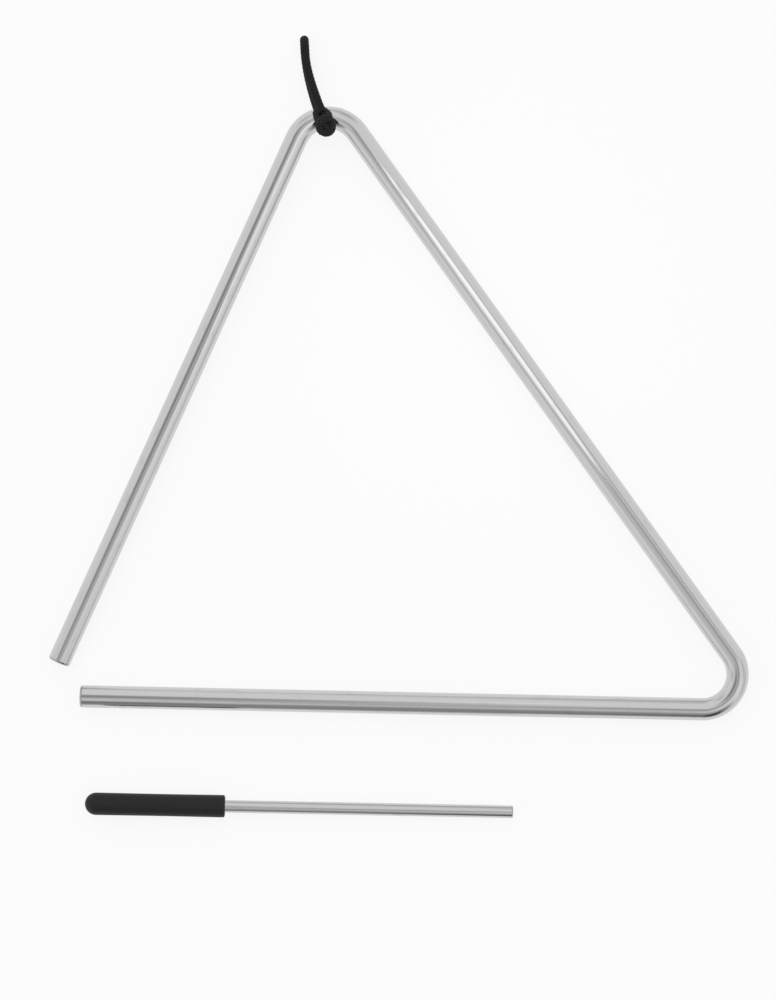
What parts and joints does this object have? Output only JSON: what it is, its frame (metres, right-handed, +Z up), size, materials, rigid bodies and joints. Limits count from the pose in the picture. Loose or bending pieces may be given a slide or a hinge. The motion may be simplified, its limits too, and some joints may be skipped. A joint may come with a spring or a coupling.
{
  "type": "musical triangle with beater",
  "caption": "Musical triangle of bright plated round bar, open at one corner, with a black cord hanging loop at the crown and a thin steel beater with a black domed grip.",
  "frame": {"origin": "on the surface that everything lies on, below the middle of the box round the bar and the beater", "axes": "+X along the base of the triangle from its open end to the closed corner, +Y from the base to the crown, +Z up"},
  "size_m": [0.25, 0.2796, 0.0178],
  "materials": {
    "bar_chrome": "polished plating",
    "rod_chrome": "polished plating, finely drawn",
    "loop_cord": "matt black braided cord",
    "grip_rubber": "satin black, dip moulded"
  },
  "bodies": {
    "triangle": {"triangle_bar": "bar_chrome"},
    "loop": {"hanging_loop": "loop_cord", "loop_knot": "loop_cord"},
    "beater": {"beater_rod": "rod_chrome", "beater_grip": "grip_rubber"}
  },
  "joints": [
    {"name": "loop_swing", "type": "hinge", "parent": "triangle", "child": "loop", "pos_m": [-0.03045, 0.12313, 0.0072], "axis": [0.993, 0.1184, 0.0018], "continuous": true},
    {"name": "beater_lift", "type": "slide", "parent": "triangle", "child": "beater", "axis": [0, 0, 1], "range_m": [0, 0.1]}
  ]
}
